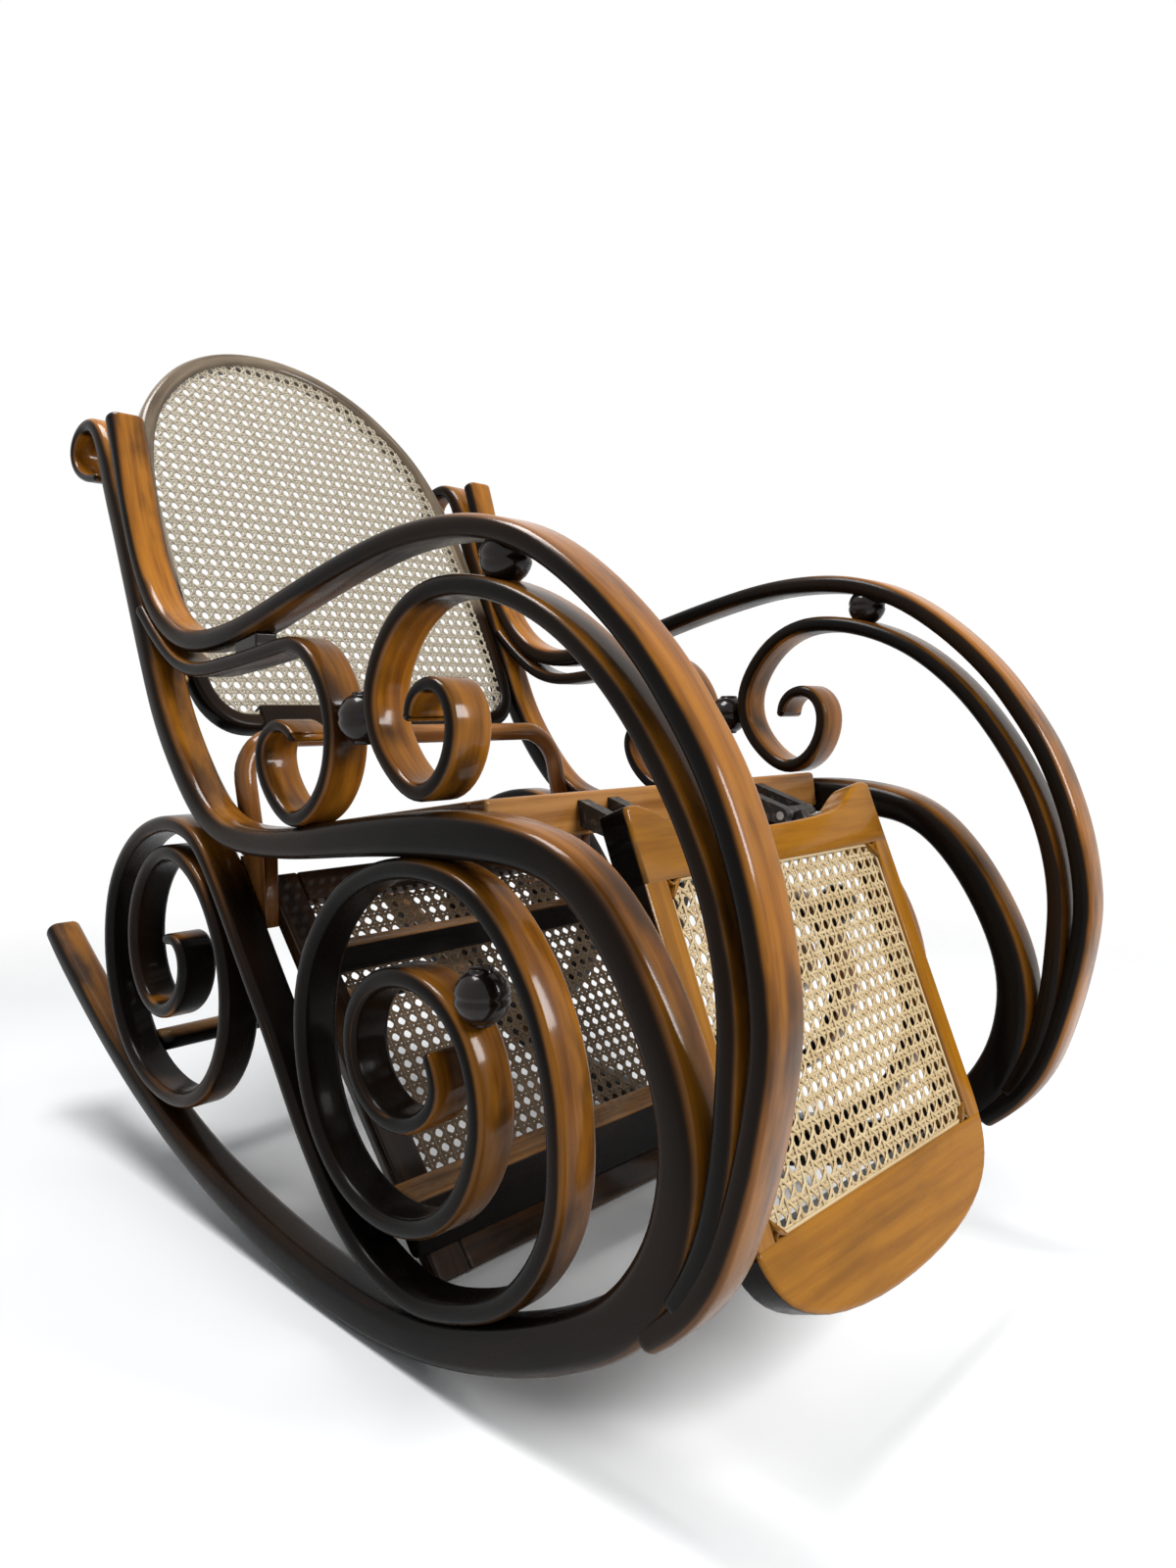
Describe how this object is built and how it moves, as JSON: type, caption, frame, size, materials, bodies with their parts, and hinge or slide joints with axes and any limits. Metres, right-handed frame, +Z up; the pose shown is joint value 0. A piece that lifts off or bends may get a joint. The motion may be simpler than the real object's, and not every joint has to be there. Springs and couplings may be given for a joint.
{
  "type": "bentwood rocking chair",
  "caption": "Rocking chair of bent wooden members with scrolled side frames, caned seat, tall arched caned back and hinged caned leg rest.",
  "frame": {"origin": "on the floor, midway between the two side frames and midway along the chair", "axes": "+X the way the sitter faces, +Y the sitter's left, +Z up"},
  "size_m": [1.1118, 0.544, 1.0012],
  "materials": {
    "dark_wood": "dark polished bentwood",
    "brown_wood": "warm brown varnished wood",
    "honey_wood": "honey varnished wood",
    "peg_wood": "plain wooden dowel",
    "cane": "woven cane",
    "iron": "dark hinge iron",
    "steel": "plain steel"
  },
  "bodies": {
    "chair": {"right_main_member": "dark_wood", "left_main_member": "dark_wood", "right_outer_arm": "dark_wood", "left_outer_arm": "dark_wood", "right_inner_arm": "dark_wood", "left_inner_arm": "dark_wood", "right_rear_scroll": "dark_wood", "left_rear_scroll": "dark_wood", "right_s_scroll": "dark_wood", "left_s_scroll": "dark_wood", "arm_balls": "dark_wood", "scroll_balls": "dark_wood", "spiral_balls": "dark_wood", "arm_blocks": "dark_wood", "back_hoop": "brown_wood", "back_bottom_rail": "brown_wood", "back_cane": "cane", "back_dowels": "peg_wood", "seat_front_rail": "honey_wood", "seat_side_rails": "brown_wood", "seat_rear_rail": "brown_wood", "seat_cane": "cane", "seat_dowels": "peg_wood", "rear_hoop": "brown_wood", "panel_hangers": "brown_wood", "under_top_rail": "brown_wood", "under_side_rails": "brown_wood", "under_foot_rail": "brown_wood", "under_cane": "cane", "lower_crossbar": "dark_wood", "square_stretcher": "dark_wood", "rear_stretcher": "dark_wood", "stretcher_dowels": "peg_wood", "hinge_brackets": "iron", "hinge_pins": "steel", "bracket_screws": "steel"},
    "leg_rest": {"leg_top_rail": "honey_wood", "leg_stiles": "honey_wood", "leg_foot_board": "honey_wood", "leg_cane": "cane", "leg_hinge_leaves": "iron", "leaf_screws": "steel"}
  },
  "joints": [
    {"name": "leg_rest_hinge", "type": "hinge", "parent": "chair", "child": "leg_rest", "pos_m": [0.32454, 0, 0.43131], "axis": [0, -1, 0], "range_deg": [0, 68]}
  ]
}
